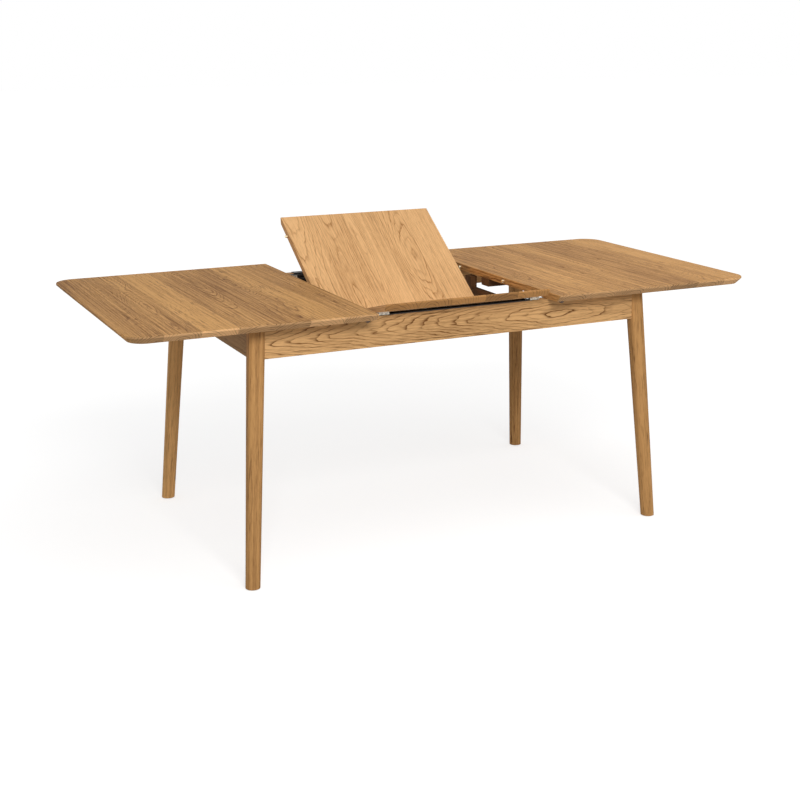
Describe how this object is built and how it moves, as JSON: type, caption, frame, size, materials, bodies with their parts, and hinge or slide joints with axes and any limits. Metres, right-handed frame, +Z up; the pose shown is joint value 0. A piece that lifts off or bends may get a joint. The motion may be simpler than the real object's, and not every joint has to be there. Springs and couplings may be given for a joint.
{
  "type": "butterfly extension table",
  "caption": "Oak extension table with splayed tapered legs, tops that slide apart on rails, and a butterfly leaf that folds open between them.",
  "frame": {"origin": "on the floor, under the middle of the table", "axes": "+X along the length to the right, +Y to the back, +Z up"},
  "size_m": [1.982, 0.89, 0.911],
  "materials": {
    "oak": "oiled",
    "zinc": "zinc plated",
    "black_steel": "satin black",
    "brass": "satin",
    "felt": "felt",
    "black_rubber": "matte"
  },
  "bodies": {
    "frame": {"leg_front_left": "oak", "leg_front_right": "oak", "leg_back_left": "oak", "leg_back_right": "oak", "foot_glides": "black_rubber", "corner_blocks": "oak", "leg_bolts": "zinc", "apron_front": "oak", "apron_back": "oak", "apron_left": "oak", "apron_right": "oak", "cross_rail_left": "oak", "cross_rail_right": "oak", "leaf_posts": "oak", "storage_batten_front": "oak", "storage_batten_back": "oak", "felt_strips": "felt", "slide_rail_front": "black_steel", "slide_rail_back": "black_steel", "rail_screws": "black_steel", "pivot_saddles": "zinc", "saddle_screws": "zinc"},
    "left_top": {"top_left": "oak", "runner_left_front": "zinc", "runner_left_back": "zinc", "tab_screws_left": "zinc", "top_rib_left": "oak", "rib_screws_left": "zinc", "lock_rivets_left": "black_steel"},
    "right_top": {"top_right": "oak", "runner_right_front": "zinc", "runner_right_back": "zinc", "tab_screws_right": "zinc", "top_rib_right": "oak", "rib_screws_right": "zinc", "lock_rivets_right": "black_steel", "align_pins_right": "zinc"},
    "leaf_pivot_pins": {"pivot_pins": "zinc"},
    "leaf_front_half": {"leaf_front": "oak", "pivot_arms": "zinc", "arm_screws": "zinc", "hinge_blocks_front": "brass", "align_pin_leaf_front": "zinc"},
    "leaf_hinge_links": {"hinge_links": "brass"},
    "leaf_back_half": {"leaf_back": "oak", "hinge_blocks_back": "brass", "rest_pads": "black_rubber", "align_pin_leaf_back": "zinc"},
    "lock_left_front": {"leaf_lock_left_front": "black_steel"},
    "lock_left_back": {"leaf_lock_left_back": "black_steel"},
    "lock_right_front": {"leaf_lock_right_front": "black_steel"},
    "lock_right_back": {"leaf_lock_right_back": "black_steel"}
  },
  "joints": [
    {"name": "left_top_slide", "type": "slide", "parent": "frame", "child": "left_top", "axis": [1, 0, 0], "range_m": [0, 0.0265]},
    {"name": "right_top_slide", "type": "slide", "parent": "frame", "child": "right_top", "axis": [-1, 0, 0], "range_m": [0, 0.0265]},
    {"name": "leaf_lift_off", "type": "slide", "parent": "frame", "child": "leaf_pivot_pins", "axis": [0, 0, -1], "range_m": [-0.12, 0]},
    {"name": "leaf_lift", "type": "hinge", "parent": "leaf_pivot_pins", "child": "leaf_front_half", "pos_m": [0, -0.358, 0.7], "axis": [1, 0, 0], "range_deg": [0, 15]},
    {"name": "leaf_unfold", "type": "hinge", "parent": "leaf_front_half", "child": "leaf_hinge_links", "pos_m": [0, 0.0009, 0.65622], "axis": [1, 0, 0], "range_deg": [-50.2, 0]},
    {"name": "leaf_fold", "type": "hinge", "parent": "leaf_hinge_links", "child": "leaf_back_half", "pos_m": [0, 0.0009, 0.65622], "axis": [-1, 0, 0], "range_deg": [-129.4, 0]},
    {"name": "lock_left_front_swivel", "type": "hinge", "parent": "left_top", "child": "lock_left_front", "pos_m": [-0.313, -0.418, 0.72675], "axis": [0, 0, -1], "range_deg": [0, 90]},
    {"name": "lock_left_back_swivel", "type": "hinge", "parent": "left_top", "child": "lock_left_back", "pos_m": [-0.313, 0.418, 0.72675], "axis": [0, 0, 1], "range_deg": [0, 90]},
    {"name": "lock_right_front_swivel", "type": "hinge", "parent": "right_top", "child": "lock_right_front", "pos_m": [0.313, -0.418, 0.72675], "axis": [0, 0, 1], "range_deg": [0, 90]},
    {"name": "lock_right_back_swivel", "type": "hinge", "parent": "right_top", "child": "lock_right_back", "pos_m": [0.313, 0.418, 0.72675], "axis": [0, 0, -1], "range_deg": [0, 90]}
  ],
  "couplings": [
    {"joint": "leaf_unfold", "follows": "leaf_lift", "ratio": -3.34}
  ]
}
